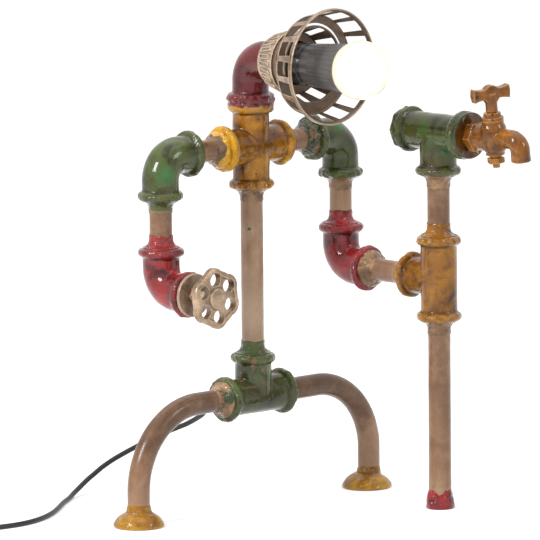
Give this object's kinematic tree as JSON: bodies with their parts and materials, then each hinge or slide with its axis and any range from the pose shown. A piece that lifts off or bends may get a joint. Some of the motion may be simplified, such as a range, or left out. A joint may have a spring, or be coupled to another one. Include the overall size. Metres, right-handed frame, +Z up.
{
  "type": "industrial pipe lamp",
  "caption": "Standing figure lamp built of threaded pipe and cast fittings: wire-cage shade head with bulb, handwheel dimmer, staff with a bib tap, bow legs on flanges, cord with coil and plug",
  "frame": {"origin": "centre of the lamp's own bounding box without the cord, at floor level", "axes": "+Z is up, +X is the viewer's right when facing the shade, -Y is the way the shade and the handwheel face"},
  "size_m": [0.487, 0.4771, 0.4846],
  "materials": {
    "cast_green": "glossy, thick clear coat over mottled bottle green paint",
    "cast_ochre": "glossy, thick clear coat over mottled ochre paint",
    "cast_red": "glossy, thick clear coat over mottled crimson paint",
    "pipe_tan": "satin taupe with darker worn patches",
    "bronze": "satin light bronze, worn at the edges",
    "brass": "satin",
    "steel": "satin",
    "black_plastic": "glossy",
    "dimmer_plastic": "matt",
    "ceramic": "matt",
    "heat_sink": "satin dark grey",
    "led_board": "matt white",
    "globe": "emissive diffuser, lit",
    "cable": "satin black"
  },
  "bodies": {
    "frame": {"base_tee": "cast_green", "base_bushes": "cast_green", "left_leg": "pipe_tan", "right_leg": "pipe_tan", "left_foot": "cast_ochre", "right_foot": "cast_ochre", "riser_pipe": "pipe_tan", "body_cross": "cast_ochre", "cross_bushes": "cast_ochre", "close_nipple": "pipe_tan", "head_elbow": "cast_red", "left_arm_nipple": "pipe_tan", "left_shoulder_elbow": "cast_green", "left_arm_bushes": "cast_green", "left_forearm_nipple": "pipe_tan", "left_wrist_elbow": "cast_red", "wrist_plate": "bronze", "dimmer_body": "dimmer_plastic", "dimmer_nut": "steel", "right_arm_nipple": "pipe_tan", "right_shoulder_elbow": "cast_green", "right_arm_bushes": "cast_red", "right_forearm_nipple": "pipe_tan", "right_wrist_elbow": "cast_red", "right_hand_nipple": "pipe_tan", "staff_tee": "cast_ochre", "staff_bushes": "cast_ochre", "staff_upper_pipe": "pipe_tan", "staff_lower_pipe": "pipe_tan", "staff_ferrule": "cast_red", "top_tee": "cast_green", "top_bush": "pipe_tan", "tee_plug": "cast_green", "tap_adapter": "cast_ochre", "tap_body": "cast_ochre", "tap_collar": "cast_ochre", "head_bush": "steel", "holder_nipple": "brass", "shade_collar": "bronze", "shade_basket": "bronze", "lampholder": "black_plastic", "lampholder_insert": "ceramic", "bulb_cap": "steel", "bulb_heatsink": "heat_sink", "led_board": "led_board", "bulb_globe": "globe", "wiring": "cable", "cord_gland": "black_plastic", "cord_lead": "cable", "cord_coil": "cable", "plug_body": "black_plastic", "plug_pins": "brass"},
    "handwheel": {"wheel_spindle": "steel", "handwheel": "bronze", "wheel_cap": "bronze"},
    "tap_key": {"tap_key": "brass", "tap_handle": "cast_ochre", "tap_washer": "brass", "tap_nut": "cast_ochre"}
  },
  "joints": [
    {"name": "handwheel_turn", "type": "hinge", "parent": "frame", "child": "handwheel", "pos_m": [-0.117, 0.04295, 0.2204], "axis": [0, 1, 0], "range_deg": [0, 280]},
    {"name": "tap_quarter_turn", "type": "hinge", "parent": "frame", "child": "tap_key", "pos_m": [0.117, -0.09465, 0.3597], "axis": [-0.1132, 0, 0.9936], "range_deg": [0, 90]}
  ]
}
